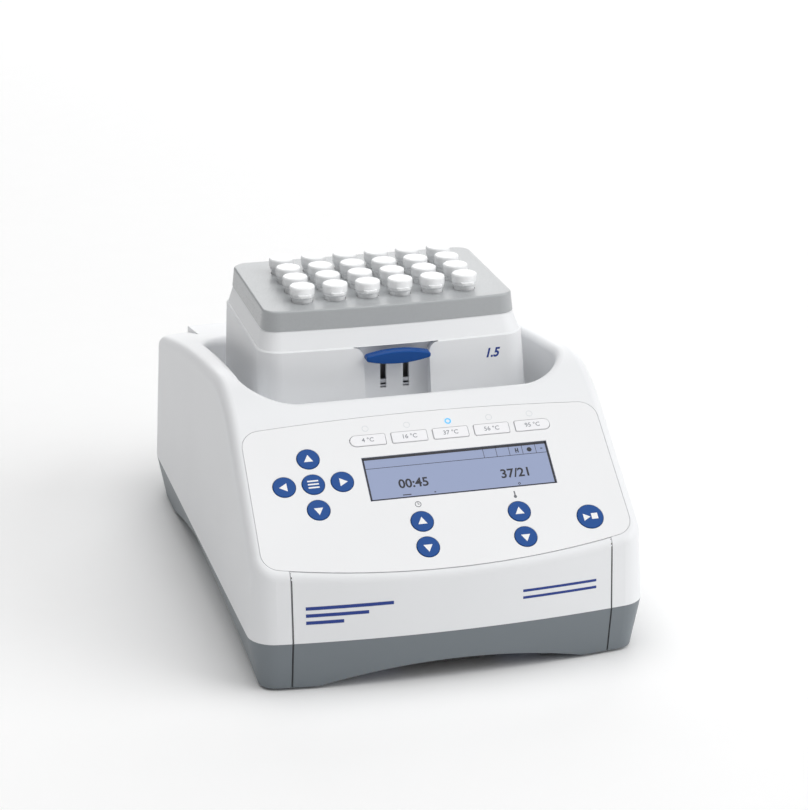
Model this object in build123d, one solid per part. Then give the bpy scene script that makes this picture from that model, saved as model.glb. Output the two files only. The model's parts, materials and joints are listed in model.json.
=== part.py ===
from build123d import *
import math
import os

# Dry block heater with a lift-off block of 24 micro test tubes.
# Millimetres.  X is to the right seen from the front, Y goes to the rear, Z is up.
# The origin is on the table, under the middle of the casing.

# ---------------------------------------------------------------------------
# Driving dimensions: casing
# ---------------------------------------------------------------------------
CASE_DEPTH = 304
FRONT_HALF_WIDTH = 98.6
REAR_HALF_WIDTH = 103
FRONT_BOW = 7.6
FRONT_CORNER_RADIUS = 14
REAR_CORNER_RADIUS = 38
FRONT_Y = -CASE_DEPTH / 2
REAR_Y = CASE_DEPTH / 2

FOOT_PROUD = 1.5
BASE_EDGE_Z = FOOT_PROUD
SPLIT_Z = 26.6
CASE_TOP_Z = 130
BASE_DRAFT = 10.6
TOP_DRAFT = 3.1
WALL = 3
TOP_EDGE_RADIUS = 5.5
SEAM_GAP = 0.35
SEAM_HALF_WIDTH = 79.7

# Deck line in the YZ plane: a crest arc behind the panel, then a long flat arc to the rear.
CREST_RADIUS = 62
DECK_RADIUS = 990
DECK_START_FALL = 6
DECK_ARC = 11.6
REAR_LEDGE_HALF_WIDTH = 77.5
REAR_LEDGE_PROFILE = [(104, 100.2), (158, 90.6), (158, 70), (104, 90)]

# ---------------------------------------------------------------------------
# Driving dimensions: sloping control panel
# ---------------------------------------------------------------------------
PANEL_TILT = 37.9
PANEL_ORIGIN_Y = -143.1
PANEL_ORIGIN_Z = 61.8
PANEL_FLAT_END = 82
OVERLAY_BOTTOM_HALF = 92
OVERLAY_TOP_HALF = 90.3
OVERLAY_BOTTOM_V = 3.1
OVERLAY_BOTTOM_BOW = 9.6
OVERLAY_TOP_V = 78.4
OVERLAY_TOP_BOW = 3.4
OVERLAY_RADIUS = 9.5
OVERLAY_THICKNESS = 0.8
OVERLAY_GAP = 0.25

SCREEN_LEFT, SCREEN_RIGHT = -33.4, 60.2
SCREEN_LOW, SCREEN_HIGH = 33.9, 58.1
SCREEN_RECESS = 0.25
SCREEN_CLEARANCE = 0.25

KEY_DIAMETER = 11
START_KEY_DIAMETER = 13
KEY_CLEARANCE = 0.3
KEY_PROUD = 0.35
KEY_DEPTH = 3.6
KEY_FLANGE_WIDTH = 1
KEY_FLANGE_THICKNESS = 1
KEY_TRAVEL = 0.4
ROUND_KEYS = {
    "menu": (-59.65, 46.1, KEY_DIAMETER),
    "up": (-59.65, 60.4, KEY_DIAMETER),
    "down": (-59.65, 31.8, KEY_DIAMETER),
    "left": (-73.95, 46.1, KEY_DIAMETER),
    "right": (-45.35, 46.1, KEY_DIAMETER),
    "time_up": (-11, 20, KEY_DIAMETER),
    "time_down": (-11, 5.9, KEY_DIAMETER),
    "temp_up": (37.7, 20, KEY_DIAMETER),
    "temp_down": (37.7, 5.9, KEY_DIAMETER),
    "start_stop": (72.1, 13.1, START_KEY_DIAMETER),
}
PRESET_COUNT = 5
PRESET_PITCH = 21
PRESET_SIZE = (17.8, 6)
PRESET_FIRST_X = -28.4
PRESET_V = 67.9
PRESET_CORNER = 0.8

BOARD_DEPTH = 7.6
BOARD_THICKNESS = 1.6
DOME_DIAMETER = 6
DOME_GAP = 0.1

# ---------------------------------------------------------------------------
# Driving dimensions: well, heater stack and fan
# ---------------------------------------------------------------------------
WELL_HALF_WIDTH = 82.3
WELL_FRONT_Y, WELL_REAR_Y = -65, 84
WELL_CORNER_RADIUS = 26
WELL_FLOOR_Z = 88
WELL_WALL = 2.5
WELL_RIM_RADIUS = 4

STACK_CENTRE_Y = 16
PLATE_SIZE = (108, 92, 8)
PLATE_TOP_Z = 92
PELTIER_SIZE = (40, 40, 3.6)
PELTIER_PITCH_X, PELTIER_PITCH_Y = 48, 44
SINK_SIZE = (124, 96, 7)
SINK_TOP_Z = PLATE_TOP_Z - PLATE_SIZE[2] - PELTIER_SIZE[2]
FIN_COUNT = 17
FIN_THICKNESS = 2
FIN_HEIGHT = 25
FAN_SIZE = 80
FAN_THICKNESS = 25
FAN_DUCT_DIAMETER = 76
FAN_HUB_DIAMETER = 34
FAN_SHAFT_DIAMETER = 4
FAN_BLADES = 7
FAN_TOP_Z = SINK_TOP_Z - SINK_SIZE[2] - FIN_HEIGHT

# ---------------------------------------------------------------------------
# Driving dimensions: lift-off block with its tubes
# ---------------------------------------------------------------------------
TUBE_COLUMNS, TUBE_ROWS = 6, 4
TUBE_PITCH = 17.16
COVER_TOP_Z = 152
COVER_BOTTOM_Z = 142
LEDGE_Z = 132.5
BLOCK_BOTTOM_Z = 92.2
HOUSING_FRONT_BOW = 3.4
COVER_HALF_WIDTH = 66.6
COVER_FRONT_Y, COVER_REAR_Y = -29.2, 66.6
COVER_RADIUS = 9.5
COVER_DRAFT = 6.5
# Half width, front y, rear y and corner radius of the block housing at its
# top, at the foot of the upper tier, at the ledge and at the bottom.
HOUSING_TOP = (66.2, -28.8, 66.2, 9.5)
UPPER_FOOT = (69.0, -34.4, 68.4, 11)
LEDGE_RIM = (69.9, -35.4, 69.4, 12)
HOUSING_FOOT = (71.4, -42.4, 71.2, 13)
LEDGE_STEP = 0.5
HOUSING_WALL = 2.5
HEATING_BLOCK_SIZE = (108, 76)

BAY_HALF_WIDTH = 17.2
BAY_BACK_Y = -31.6
BAY_SHOULDER_RADIUS = 5
SLOT_X = 6
SLOT_WIDTH = 3.2
SLOT_TOP_Z, SLOT_BOTTOM_Z = 129.5, 109
LEVER_HALF_LENGTH = 16.8
LEVER_HEIGHT = 6.8
LEVER_END_HEIGHT = 2.4
LEVER_CENTRE_Z = 127.9
LEVER_FRONT_Y = -41.2
LEVER_BACK_Y = -35.6
ARM_WIDTH = 2.2
ARM_HEIGHT = 4.4

TUBE_RIM_LOW_Z, TUBE_RIM_TOP_Z = 154, 155.6
TUBE_DIAMETER = 10.7
TUBE_RIM_DIAMETER = 12.2
TUBE_WALL = 1
TUBE_LENGTH = 38.6
TUBE_CONE_LENGTH = 17.5
TUBE_TIP_RADIUS = 1.8
LID_DIAMETER = 13
LID_THICKNESS = 4.7
LID_PLUG_LENGTH = 3
BORE_CLEARANCE = 0.3

# ---------------------------------------------------------------------------
# Driving dimensions: base, rear face, feet and fasteners
# ---------------------------------------------------------------------------
FRONT_ARCH_HALF, FRONT_ARCH_RISE = 66, 9
SIDE_ARCH_FRONT_Y, SIDE_ARCH_REAR_Y = -134, 92
SIDE_ARCH_PEAK = (0, 22)
SIDE_ARCH_FRONT_MID = (-72, 15.2)
SIDE_ARCH_REAR_MID = (50, 12)
BOTTOM_PLATE_Z = 6
BOTTOM_PLATE_THICKNESS = 1.5
BOTTOM_PLATE_HALF_WIDTH = 82.3
BOTTOM_PLATE_INSET = 10.5
PLATE_FOLD_HEIGHT = 9
PLATE_TONGUE_HALF_WIDTH = 25
PLATE_FRONT_Y = -126
FOOT_DIAMETER = 16
FOOT_THICKNESS = 4
FOOT_POSITIONS = [(-76, -124), (76, -124), (-78, 120), (78, 120)]
SCREW_POSITIONS = [(-58, -126), (58, -126), (-84, 100), (84, 100)]
PAD_MARGIN = 12
PAD_TOP_Z = 12
GRIP_WALL = 2.5
GRIP_INNER_X = 83
SCREW_HEAD_DIAMETER = 7
SCREW_DIAMETER = 3.6
POST_DIAMETER = 9
LIP_HEIGHT = 3

INLET_X, INLET_Z = 52, 46
INLET_BODY = (53, 23)
INLET_FLANGE = (60, 30)
INLET_FLANGE_PROUD = 0.9
SOCKET_SIZE = (27.5, 20)
SOCKET_X = -12
SOCKET_DEPTH = 17
ROCKER_SIZE = (11, 19)
ROCKER_X = 17
VENT_COUNT = 12
VENT_WIDTH = 3
VENT_HEIGHT = 26
VENT_PITCH = 7
VENT_CENTRE = (-45, 46)
SUPPLY_SIZE = (84, 42, 40)
SUPPLY_CENTRE = (-26, 114)
SUPPLY_LOW_Z = 14


# ---------------------------------------------------------------------------
# Helpers
# ---------------------------------------------------------------------------
PANEL = Plane(
    origin=(0, PANEL_ORIGIN_Y, PANEL_ORIGIN_Z),
    x_dir=(1, 0, 0),
    z_dir=(0, -math.sin(math.radians(PANEL_TILT)), math.cos(math.radians(PANEL_TILT))),
)


def slab(sketch, low_z, high_z):
    """Straight prism of a sketch drawn on the XY plane, between two heights."""
    return Pos(0, 0, low_z) * extrude(sketch, amount=high_z - low_z)


def box_between(low, high):
    """Box with two given opposite corners."""
    size = [b - a for a, b in zip(low, high)]
    centre = [(a + b) / 2 for a, b in zip(low, high)]
    return Pos(*centre) * Box(*size)


def rod(diameter, low, high):
    """Round rod along Z from one point up to a height."""
    x, y, low_z = low
    return Pos(x, y, (low_z + high) / 2) * Cylinder(diameter / 2, high - low_z)


def on_panel(sketch, low, high):
    """Prism standing on the control panel, between two heights over its surface."""
    return PANEL * (Pos(0, 0, low) * extrude(sketch, amount=high - low))


def bowed_outline(half_width, front_y, bow, rear_y, radius):
    """Plan outline with a bowed front and rounded corners, symmetric in X."""
    side_y = front_y + bow
    front = ThreePointArc((-half_width, side_y), (0, front_y), (half_width, side_y))
    right = Line((half_width, side_y), (half_width, rear_y))
    rear = Line((half_width, rear_y), (-half_width, rear_y))
    left = Line((-half_width, rear_y), (-half_width, side_y))
    face = make_face([front, right, rear, left])
    return fillet(face.vertices(), radius)


# ---------------------------------------------------------------------------
# Casing forms shared by the shells
# ---------------------------------------------------------------------------
def case_outline():
    """Plan outline of the casing where the white top meets the grey base."""
    side_y = FRONT_Y + FRONT_BOW
    front = ThreePointArc((-FRONT_HALF_WIDTH, side_y), (0, FRONT_Y), (FRONT_HALF_WIDTH, side_y))
    right = Line((FRONT_HALF_WIDTH, side_y), (REAR_HALF_WIDTH, REAR_Y))
    rear = Line((REAR_HALF_WIDTH, REAR_Y), (-REAR_HALF_WIDTH, REAR_Y))
    left = Line((-REAR_HALF_WIDTH, REAR_Y), (-FRONT_HALF_WIDTH, side_y))
    face = make_face([front, right, rear, left])
    rear_corners = face.vertices().group_by(Axis.Y)[-1]
    face = fillet(rear_corners, REAR_CORNER_RADIUS)
    front_corners = face.vertices().group_by(Axis.Y)[0]
    return fillet(front_corners, FRONT_CORNER_RADIUS)


def deck_profile(inset):
    """Side view of everything under the panel and the deck, on the YZ plane."""
    tilt = math.radians(PANEL_TILT)
    shift_y = inset * math.sin(tilt)
    shift_z = -inset * math.cos(tilt)

    def panel_point(v):
        y = PANEL_ORIGIN_Y + v * math.cos(tilt) + shift_y
        z = PANEL_ORIGIN_Z + v * math.sin(tilt) + shift_z
        return (y, z)

    low_front = panel_point(-30)
    crest_start = panel_point(PANEL_FLAT_END)
    panel = Line(low_front, crest_start)
    crest = JernArc(crest_start, panel % 1, CREST_RADIUS - inset, -PANEL_TILT - DECK_START_FALL)
    deck = JernArc(crest @ 1, crest % 1, DECK_RADIUS - inset, -DECK_ARC)
    rear_low = ((deck @ 1).X, 0)
    front_low = (low_front[0], 0)
    outline = [panel, crest, deck]
    outline += [Line(deck @ 1, rear_low), Line(rear_low, front_low), Line(front_low, low_front)]
    return Plane.YZ * make_face(outline)


def top_form(inset, low_z):
    """Outer form of the white top casing, or its inside when inset by the wall."""
    spread = (SPLIT_Z - low_z) * math.tan(math.radians(TOP_DRAFT))
    outline = offset(case_outline(), amount=spread - inset) if inset else case_outline()
    body = Pos(0, 0, low_z) * extrude(outline, amount=CASE_TOP_Z - low_z, taper=TOP_DRAFT)
    span = REAR_HALF_WIDTH + 10
    return body & Pos(-span, 0, 0) * extrude(deck_profile(inset), amount=2 * span)


def rounded_top_form():
    """Outer form of the top casing with its soft upper edges."""
    form = top_form(0, SPLIT_Z)
    upper = [edge for edge in form.edges() if edge.bounding_box().min.Z > SPLIT_Z + 1]
    across = [
        edge for edge in upper if edge.geom_type == GeomType.LINE and abs(edge.center().X) < 1
    ]
    smooth = [edge for edge in across if edge.center().Y < 0]
    return fillet([edge for edge in upper if edge not in smooth], TOP_EDGE_RADIUS)


def well_outline(grow=0):
    """Rounded rectangle of the well, or of the outside of its walls."""
    width = 2 * (WELL_HALF_WIDTH + grow)
    depth = WELL_REAR_Y - WELL_FRONT_Y + 2 * grow
    centre_y = (WELL_FRONT_Y + WELL_REAR_Y) / 2
    return Pos(0, centre_y) * RectangleRounded(width, depth, WELL_CORNER_RADIUS + grow)


def overlay_outline(grow=0):
    """Outline of the keypad overlay in panel coordinates."""
    low_left = (-OVERLAY_BOTTOM_HALF, OVERLAY_BOTTOM_V)
    low_right = (OVERLAY_BOTTOM_HALF, OVERLAY_BOTTOM_V)
    high_left = (-OVERLAY_TOP_HALF, OVERLAY_TOP_V)
    high_right = (OVERLAY_TOP_HALF, OVERLAY_TOP_V)
    bottom = ThreePointArc(low_left, (0, OVERLAY_BOTTOM_V - OVERLAY_BOTTOM_BOW), low_right)
    top = ThreePointArc(high_right, (0, OVERLAY_TOP_V + OVERLAY_TOP_BOW), high_left)
    face = make_face([bottom, Line(low_right, high_right), top, Line(high_left, low_left)])
    face = fillet(face.vertices(), OVERLAY_RADIUS)
    return offset(face, amount=grow) if grow else face


def front_region(shrink=0):
    """Space of the removable front piece: between the seams and below the overlay."""
    half = SEAM_HALF_WIDTH - shrink
    bottom = ThreePointArc(
        (-OVERLAY_BOTTOM_HALF, OVERLAY_BOTTOM_V),
        (0, OVERLAY_BOTTOM_V - OVERLAY_BOTTOM_BOW),
        (OVERLAY_BOTTOM_HALF, OVERLAY_BOTTOM_V),
    )
    low_v = -70
    face = make_face([
        bottom,
        Line(bottom @ 1, (OVERLAY_BOTTOM_HALF, low_v)),
        Line((OVERLAY_BOTTOM_HALF, low_v), (-OVERLAY_BOTTOM_HALF, low_v)),
        Line((-OVERLAY_BOTTOM_HALF, low_v), bottom @ 0),
    ])
    face = offset(face, amount=-shrink) if shrink else face
    face = face & Pos(0, low_v / 2) * Rectangle(2 * half, abs(low_v) * 2)
    return on_panel(face, -60, 20)


def key_outline(name, grow=0):
    """Outline of one key in panel coordinates, grown evenly for its hole or flange."""
    if name in ROUND_KEYS:
        x, v, diameter = ROUND_KEYS[name]
        return Pos(x, v) * Circle(diameter / 2 + grow)
    index = PRESET_NAMES.index(name)
    width, height = PRESET_SIZE
    face = RectangleRounded(width, height, PRESET_CORNER)
    if index in (0, PRESET_COUNT - 1):
        outer = -1 if index == 0 else 1
        rounded = SlotOverall(width, height)
        square = Pos(-outer * width / 4) * Rectangle(width / 2, height)
        face = rounded + (face & square)
    face = Pos(PRESET_FIRST_X + index * PRESET_PITCH, PRESET_V) * face
    return offset(face, amount=grow) if grow else face


PRESET_NAMES = [f"preset_{number}" for number in range(1, PRESET_COUNT + 1)]
KEY_NAMES = list(ROUND_KEYS) + PRESET_NAMES


def screen_outline(grow=0):
    """Outline of the display glass in panel coordinates."""
    width = SCREEN_RIGHT - SCREEN_LEFT + 2 * grow
    height = SCREEN_HIGH - SCREEN_LOW + 2 * grow
    centre = ((SCREEN_LEFT + SCREEN_RIGHT) / 2, (SCREEN_LOW + SCREEN_HIGH) / 2)
    return Pos(*centre) * Rectangle(width, height)


# ---------------------------------------------------------------------------
# Casing pieces
# ---------------------------------------------------------------------------
def rear_ledge():
    """Low raised step along the middle of the rear edge of the deck."""
    face = make_face(Polyline(*REAR_LEDGE_PROFILE, close=True).edges())
    step = Pos(-REAR_LEDGE_HALF_WIDTH, 0, 0) * extrude(Plane.YZ * face, amount=2 * REAR_LEDGE_HALF_WIDTH)
    height = CASE_TOP_Z - SPLIT_Z
    step &= Pos(0, 0, SPLIT_Z) * extrude(case_outline(), amount=height, taper=TOP_DRAFT)
    rear_top = step.edges().filter_by(Axis.X).sort_by(lambda edge: edge.center().Y + edge.center().Z)[-1]
    return fillet(rear_top, 2)


def casing_shell():
    """Hollow top casing with its well, before the panel and the rear are cut."""
    form = rounded_top_form() + rear_ledge()
    form -= slab(well_outline(), WELL_FLOOR_Z, CASE_TOP_Z + 10)
    rim = [
        edge
        for edge in form.edges()
        if edge.bounding_box().min.Z > WELL_FLOOR_Z + 5
        and abs(edge.center().X) < WELL_HALF_WIDTH + 1
        and WELL_FRONT_Y - 1 < edge.bounding_box().min.Y
        and edge.bounding_box().max.Y < WELL_REAR_Y + 1
        and abs(edge.tangent_at(0.5).Z) < 0.5
    ]
    form = fillet(rim, WELL_RIM_RADIUS)
    tub = slab(well_outline(WELL_WALL), WELL_FLOOR_Z - WELL_WALL, CASE_TOP_Z + 10)
    inside = top_form(WALL, SPLIT_Z - 1) - tub
    return form - inside


def rear_openings():
    """Cuts through the rear wall: the inlet and the row of vent slots."""
    reach = 20
    width, height = INLET_BODY
    cut = on_rear(RectangleRounded(width + 0.6, height + 0.6, 1.2), -reach, reach)
    first = VENT_CENTRE[0] - VENT_PITCH * (VENT_COUNT - 1) / 2
    for index in range(VENT_COUNT):
        x = first + index * VENT_PITCH
        cut += Pos(x, REAR_Y, VENT_CENTRE[1]) * Box(VENT_WIDTH, reach, VENT_HEIGHT)
    return cut


def screw_posts():
    """Posts inside the casing that take the four screws from below."""
    posts = [
        rod(POST_DIAMETER, (x, y, PAD_TOP_Z + 0.2), CASE_TOP_Z) for x, y in SCREW_POSITIONS
    ]
    pilots = [rod(SCREW_DIAMETER, (x, y, 0), PAD_TOP_Z + 18) for x, y in SCREW_POSITIONS]
    return posts, pilots


def upper_housing(shell):
    """White top casing: shell, well, panel recess, posts and rear openings."""
    housing = shell - front_region()
    housing -= on_panel(overlay_outline(), -OVERLAY_THICKNESS, 5)
    housing -= on_panel(screen_outline(SCREEN_CLEARANCE), -12, 5)
    for name in KEY_NAMES:
        housing -= on_panel(key_outline(name, KEY_CLEARANCE), -12, 5)
    plate_x, plate_y, _ = PLATE_SIZE
    housing -= Pos(0, STACK_CENTRE_Y, WELL_FLOOR_Z) * Box(plate_x + 1, plate_y + 1, 20)
    housing -= rear_openings()
    limit = top_form(WALL / 2, 0)
    keep_clear = on_panel(Rectangle(400, 400), -BOARD_DEPTH - BOARD_THICKNESS - 3, 60)
    posts, pilots = screw_posts()
    for (x, y), post in zip(SCREW_POSITIONS, posts):
        front_post = y < 0
        housing += (post - keep_clear if front_post else post) & limit
        if front_post:
            side = 1 if x > 0 else -1
            housing += web_to_side(x, y, side) & top_form(WALL / 2, SPLIT_Z) - keep_clear
    for pilot in pilots:
        housing -= pilot
    return housing


def web_to_side(x, y, side):
    """Rib that ties a front screw post to the side wall."""
    return box_between(
        (min(x, side * 105), y - 1.2, SPLIT_Z + 4), (max(x, side * 105), y + 1.2, SPLIT_Z + 40)
    )


def front_panel(shell):
    """White middle piece of the front, between the two seams."""
    return shell & front_region(SEAM_GAP)


def base_form(inset, low_z=BASE_EDGE_Z, high_z=SPLIT_Z):
    """Drafted form of the grey base: wide at the top, narrow at the table."""
    outline = case_outline()
    shrink = (SPLIT_Z - high_z) * math.tan(math.radians(BASE_DRAFT)) + inset
    if shrink:
        outline = offset(outline, amount=-shrink)
    return Pos(0, 0, high_z) * extrude(outline, amount=-(high_z - low_z), taper=BASE_DRAFT)


def arch_cuts(lift=0):
    """Raised arches under the front, the rear and both sides of the base."""
    low = -5
    front = make_face([
        ThreePointArc(
            (-FRONT_ARCH_HALF, BASE_EDGE_Z),
            (0, BASE_EDGE_Z + FRONT_ARCH_RISE),
            (FRONT_ARCH_HALF, BASE_EDGE_Z),
        ),
        Line((FRONT_ARCH_HALF, BASE_EDGE_Z), (FRONT_ARCH_HALF, low)),
        Line((FRONT_ARCH_HALF, low), (-FRONT_ARCH_HALF, low)),
        Line((-FRONT_ARCH_HALF, low), (-FRONT_ARCH_HALF, BASE_EDGE_Z)),
    ])
    peak_y, peak_z = SIDE_ARCH_PEAK
    edge_z = BASE_EDGE_Z + lift
    front_foot = (SIDE_ARCH_FRONT_Y, edge_z)
    rear_foot = (SIDE_ARCH_REAR_Y, edge_z)
    peak = (peak_y, peak_z + edge_z)
    front_mid = (SIDE_ARCH_FRONT_MID[0], SIDE_ARCH_FRONT_MID[1] + edge_z)
    rear_mid = (SIDE_ARCH_REAR_MID[0], SIDE_ARCH_REAR_MID[1] + edge_z)
    side = make_face([
        ThreePointArc(front_foot, front_mid, peak),
        ThreePointArc(peak, rear_mid, rear_foot),
        Line(rear_foot, (rear_foot[0], low)),
        Line((rear_foot[0], low), (front_foot[0], low)),
        Line((front_foot[0], low), front_foot),
    ])
    through = extrude(Plane.XZ * front, amount=REAR_Y + 10, both=True)
    across = extrude(Plane.YZ * side, amount=REAR_HALF_WIDTH + 10, both=True)
    return through, across


def base_wall():
    """Wall of the grey base all the way round, with its arches."""
    wall = base_form(0) - base_form(WALL, BASE_EDGE_Z - 1, SPLIT_Z + 1)
    through, across = arch_cuts()
    return wall - through - across


def base_front_region(shrink=0):
    """Space of the grey front piece, between the seams."""
    half = SEAM_HALF_WIDTH - shrink
    return box_between((-half, FRONT_Y - 10, -10), (half, FRONT_Y + 22, SPLIT_Z + 10))


def front_skirt():
    """Grey middle piece of the front, below the white one."""
    return base_wall() & base_front_region(SEAM_GAP)


def corner_pads():
    """Solid corner pads that carry the feet and take the screws."""
    side_limit = base_form(WALL / 2)
    front_limit = base_form(WALL + 0.3)
    pads = []
    for (foot_x, foot_y), (screw_x, screw_y) in zip(FOOT_POSITIONS, SCREW_POSITIONS):
        low_x = min(abs(foot_x), abs(screw_x)) - PAD_MARGIN
        low = (math.copysign(low_x, foot_x), min(foot_y, screw_y) - PAD_MARGIN, BASE_EDGE_Z)
        high = (math.copysign(REAR_HALF_WIDTH, foot_x), max(foot_y, screw_y) + PAD_MARGIN, PAD_TOP_Z)
        corners = [(min(p), max(p)) for p in zip(low, high)]
        pad = box_between([p[0] for p in corners], [p[1] for p in corners])
        if foot_y < 0:
            behind_skirt = pad & base_front_region(-SEAM_GAP) & front_limit
            pads.append(((pad - base_front_region(-SEAM_GAP)) & side_limit) + behind_skirt)
        else:
            pads.append(pad & side_limit)
    return pads


def grip_recesses():
    """Closed lining of the two side arches: a thin ceiling and an inner wall."""
    _, arch = arch_cuts()
    _, ceiling = arch_cuts(GRIP_WALL)
    lining = (ceiling & base_form(0)) - arch
    inner_x = GRIP_INNER_X + GRIP_WALL
    wall = (ceiling & base_form(0)) - box_between(
        (-GRIP_INNER_X, FRONT_Y, -10), (GRIP_INNER_X, REAR_Y, 60)
    )
    wall &= box_between((-inner_x, FRONT_Y, BASE_EDGE_Z), (inner_x, REAR_Y, SPLIT_Z))
    outside = box_between((-GRIP_INNER_X, FRONT_Y, -10), (GRIP_INNER_X, REAR_Y, 60))
    return (lining - outside) + wall


def base_tray():
    """Grey base: side and rear walls, corner pads, plate ledge and a locating lip."""
    tray = base_wall() - base_front_region() + grip_recesses()
    ledge_outline = offset(case_outline(), amount=-WALL - 2)
    ledge_hole = offset(case_outline(), amount=-BOTTOM_PLATE_INSET - 4)
    floor_z = BOTTOM_PLATE_Z + BOTTOM_PLATE_THICKNESS
    deck = base_form(WALL / 2) & slab(ledge_outline, floor_z, floor_z + 1.5)
    _, across = arch_cuts()
    tray += deck - slab(ledge_hole, floor_z - 1, floor_z + 3) - across - base_front_region()
    for pad in corner_pads():
        tray += pad
    lip_outer = offset(case_outline(), amount=-WALL - 0.3)
    lip_inner = offset(case_outline(), amount=-WALL - 2)
    lip = slab(lip_outer, SPLIT_Z - 2, SPLIT_Z + LIP_HEIGHT) - slab(lip_inner, SPLIT_Z - 3, SPLIT_Z + 9)
    tray += lip & base_form(WALL / 2, 0, SPLIT_Z + LIP_HEIGHT) - base_front_region(-2)
    for x, y in FOOT_POSITIONS:
        tray -= rod(FOOT_DIAMETER + 0.4, (x, y, 0), FOOT_THICKNESS)
    for x, y in SCREW_POSITIONS:
        tray -= rod(SCREW_DIAMETER + 0.6, (x, y, 0), PAD_TOP_Z + 1)
        tray -= rod(SCREW_HEAD_DIAMETER + 0.6, (x, y, 0), PAD_TOP_Z - 5)
    return tray


def bottom_plate():
    """Sheet-steel plate that closes the underside, with slots under the fan."""
    outline = offset(case_outline(), amount=-BOTTOM_PLATE_INSET)
    outline &= Rectangle(2 * BOTTOM_PLATE_HALF_WIDTH, CASE_DEPTH)
    inner = offset(case_outline(), amount=-BOTTOM_PLATE_INSET - BOTTOM_PLATE_THICKNESS)
    plate = slab(outline, BOTTOM_PLATE_Z, BOTTOM_PLATE_Z + BOTTOM_PLATE_THICKNESS)
    folds = slab(outline, BOTTOM_PLATE_Z, BOTTOM_PLATE_Z + PLATE_FOLD_HEIGHT) - slab(
        inner, BOTTOM_PLATE_Z - 1, BOTTOM_PLATE_Z + PLATE_FOLD_HEIGHT + 1
    )
    tongue = box_between((-PLATE_TONGUE_HALF_WIDTH, FRONT_Y, 0), (PLATE_TONGUE_HALF_WIDTH, 0, SPLIT_Z))
    plate += folds & tongue
    plate -= box_between((-CASE_DEPTH, FRONT_Y, 0), (CASE_DEPTH, PLATE_FRONT_Y, SPLIT_Z)) - tongue
    for pad in corner_pads():
        box = pad.bounding_box()
        low = (box.min.X - 0.5, box.min.Y - 0.5, 0)
        high = (box.max.X + 0.5, box.max.Y + 0.5, PAD_TOP_Z)
        plate -= box_between(low, high)
    slot_count = 9
    slot_pitch = 8
    for index in range(slot_count):
        y = STACK_CENTRE_Y + (index - (slot_count - 1) / 2) * slot_pitch
        half_chord = math.sqrt((FAN_DUCT_DIAMETER / 2) ** 2 - (y - STACK_CENTRE_Y) ** 2)
        plate -= slab(Pos(0, y) * SlotOverall(2 * half_chord, 4), 0, 20)
    return plate


def rubber_feet():
    """Four round rubber feet set into the corner pads."""
    foot = Cylinder(FOOT_DIAMETER / 2, FOOT_THICKNESS)
    foot = chamfer(foot.edges().group_by(Axis.Z)[0], 0.6)
    return [Pos(x, y, FOOT_THICKNESS / 2) * foot for x, y in FOOT_POSITIONS]


def housing_screws():
    """Four pan-head screws that clamp the base to the top casing."""
    head_low = PAD_TOP_Z - 7.4
    head_high = PAD_TOP_Z - 5
    screws = []
    for x, y in SCREW_POSITIONS:
        screw = rod(SCREW_HEAD_DIAMETER, (x, y, head_low), head_high)
        screw += rod(SCREW_DIAMETER - 0.1, (x, y, head_high), head_high + 16)
        screw -= Pos(x, y, head_low) * Box(4.4, 0.9, 2.4)
        screw -= Pos(x, y, head_low) * Box(0.9, 4.4, 2.4)
        screws.append(screw)
    return screws


# ---------------------------------------------------------------------------
# Control panel pieces
# ---------------------------------------------------------------------------
def keypad_overlay(form):
    """Thin printed front foil with holes for the keys and a window for the display."""
    foil = form & on_panel(overlay_outline(-OVERLAY_GAP), -OVERLAY_THICKNESS, 5)
    foil -= on_panel(screen_outline(SCREEN_CLEARANCE), -5, 5)
    for name in KEY_NAMES:
        foil -= on_panel(key_outline(name, KEY_CLEARANCE), -5, 5)
    return foil


def key(name):
    """One key: a cap that stands a little proud and a flange behind the wall."""
    cap = on_panel(key_outline(name), -KEY_DEPTH, KEY_PROUD)
    rim = cap.faces().sort_by(lambda face: PANEL.to_local_coords(face.center()).Z)[-1].edges()
    cap = chamfer(rim, 0.2)
    flange_top = -WALL - 0.1
    flange = on_panel(key_outline(name, KEY_FLANGE_WIDTH), flange_top - KEY_FLANGE_THICKNESS, flange_top)
    return cap + flange


def display_board():
    """Circuit board of the panel with its display and one dome switch for each key."""
    glass = on_panel(screen_outline(), -4, -SCREEN_RECESS)
    frame = on_panel(screen_outline(2.5), -BOARD_DEPTH + 0.1, -4)
    width, height, centre_v = 160, 76, 36
    board = on_panel(
        Pos(0, centre_v) * Rectangle(width, height), -BOARD_DEPTH - BOARD_THICKNESS, -BOARD_DEPTH
    )
    solids = [glass + frame, board]
    dome_top = -WALL - 0.1 - KEY_FLANGE_THICKNESS - KEY_TRAVEL - DOME_GAP
    for name in KEY_NAMES:
        spot = PANEL.to_local_coords(on_panel(key_outline(name), 0, 1).center())
        solids.append(on_panel(Pos(spot.X, spot.Y) * Circle(DOME_DIAMETER / 2), -BOARD_DEPTH, dome_top))
    return solids


# ---------------------------------------------------------------------------
# Heater stack, fan and power pieces
# ---------------------------------------------------------------------------
def heating_plate():
    """Aluminium plate in the floor of the well that carries heat to the block."""
    width, depth, height = PLATE_SIZE
    plate = Pos(0, STACK_CENTRE_Y, PLATE_TOP_Z - height / 2) * Box(width, depth, height)
    return chamfer(plate.edges().group_by(Axis.Z)[-1], 0.8)


def peltier_elements():
    """Four thermoelectric tiles between the plate and the heat sink."""
    width, depth, height = PELTIER_SIZE
    centre_z = PLATE_TOP_Z - PLATE_SIZE[2] - height / 2
    spots = [(i * PELTIER_PITCH_X / 2, j * PELTIER_PITCH_Y / 2) for i in (-1, 1) for j in (-1, 1)]
    return [Pos(x, STACK_CENTRE_Y + y, centre_z) * Box(width, depth, height) for x, y in spots]


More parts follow.
